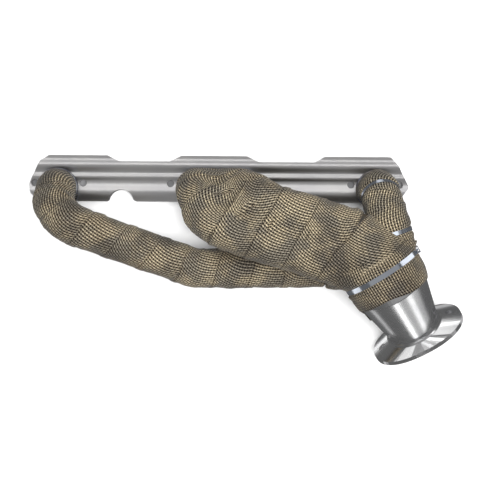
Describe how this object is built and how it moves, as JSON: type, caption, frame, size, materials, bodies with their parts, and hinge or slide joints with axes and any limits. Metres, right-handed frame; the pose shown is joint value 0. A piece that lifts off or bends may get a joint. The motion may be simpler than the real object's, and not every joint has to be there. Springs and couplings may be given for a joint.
{
  "type": "exhaust manifold",
  "caption": "Tubular exhaust manifold with a ribbed head flange, heat-wrapped primary tubes merging in a collector, steel tie straps and a bolted outlet flange.",
  "frame": {"origin": "centre of the head flange's mating face", "axes": "+X along the head flange towards the outlet end, +Y towards the flange's straight long edge, +Z from the cylinder head out through the flange; the mating face faces -Z"},
  "size_m": [0.5128, 0.2446, 0.1207],
  "materials": {
    "flange_steel": "polished stainless",
    "polished_steel": "polished stainless",
    "tube_steel": "mill finish",
    "heat_wrap": "coarse plain-woven basalt tape",
    "tie_steel": "bright stainless"
  },
  "bodies": {
    "root": {"head_flange": "flange_steel", "port_welds": "tube_steel", "primary_tube_1": "tube_steel", "primary_tube_2": "tube_steel", "primary_tube_3": "tube_steel", "primary_tube_4": "tube_steel", "collector_chamber": "tube_steel", "collector_barrel": "tube_steel", "outlet_cone": "polished_steel", "outlet_weld": "tube_steel", "outlet_flange": "polished_steel", "wrap_tube_1": "heat_wrap", "wrap_tubes_2_3": "heat_wrap", "wrap_tube_4": "heat_wrap", "wrap_chamber": "heat_wrap", "wrap_collector": "heat_wrap", "tie_strap_tube_1": "tie_steel", "tie_strap_tubes_2_3": "tie_steel", "tie_strap_tube_4_upper": "tie_steel", "tie_strap_tube_4_lower": "tie_steel", "tie_strap_collector": "tie_steel", "tie_head_tube_1": "tie_steel", "tie_head_tubes_2_3": "tie_steel", "tie_head_tube_4_upper": "tie_steel", "tie_head_tube_4_lower": "tie_steel", "tie_head_collector": "tie_steel", "tie_balls": "tie_steel"}
  },
  "joints": []
}
